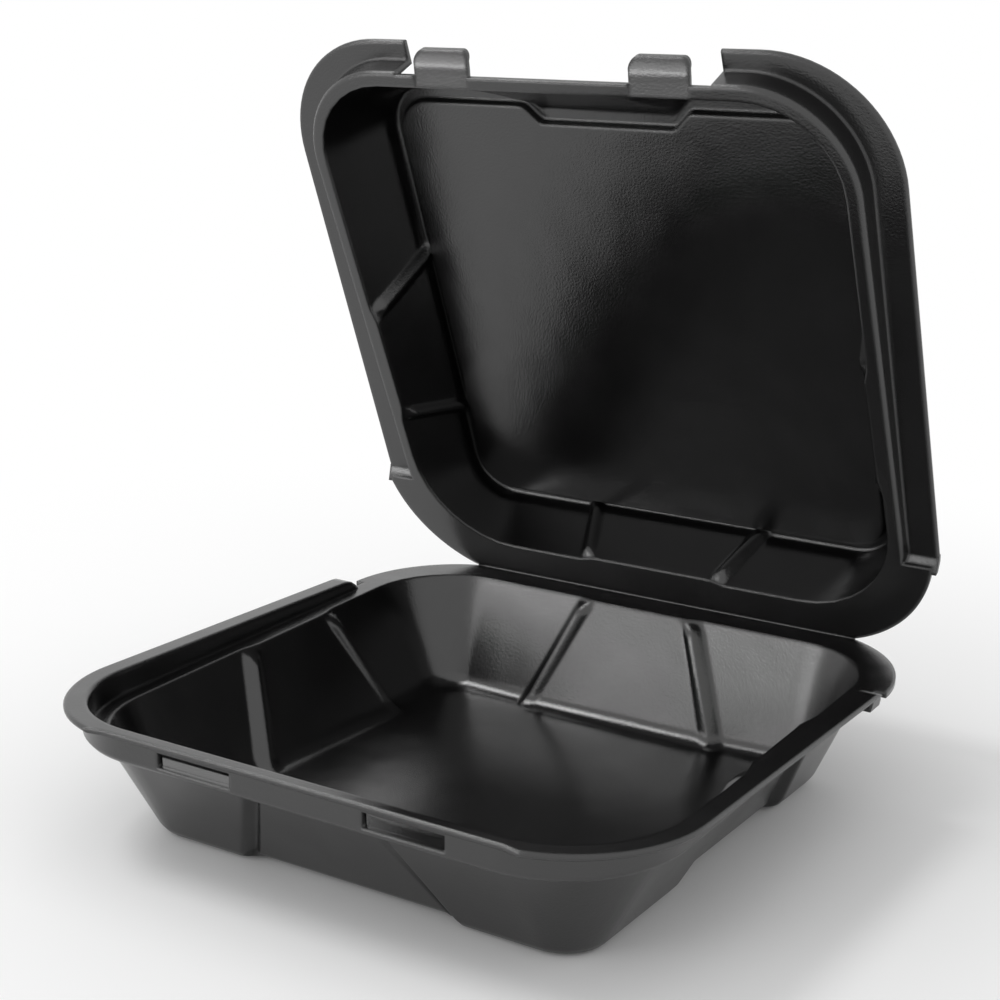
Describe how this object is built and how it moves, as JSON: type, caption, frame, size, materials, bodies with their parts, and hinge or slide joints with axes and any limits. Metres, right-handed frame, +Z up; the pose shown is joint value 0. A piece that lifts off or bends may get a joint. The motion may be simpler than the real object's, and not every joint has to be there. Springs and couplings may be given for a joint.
{
  "type": "hinged foam meal box",
  "caption": "Square black foam clamshell box: a ribbed tray with a slotted upright rim and a hinged lid with a set-in panel and locking tabs.",
  "frame": {"origin": "middle of the tray's rim, dropped to the flat underside that stands on the table", "axes": "+Z up, +Y towards the hinge at the back, +X to the right seen from the front"},
  "size_m": [0.24, 0.2525, 0.2613],
  "materials": {
    "black_foam": "gloss"
  },
  "bodies": {
    "tray": {"base_tray": "black_foam"},
    "lid": {"lid": "black_foam"}
  },
  "joints": [
    {"name": "lid_hinge", "type": "hinge", "parent": "tray", "child": "lid", "pos_m": [0, 0.116, 0.04581], "axis": [-1, 0, 0], "range_deg": [-67.4, 112.6]}
  ]
}
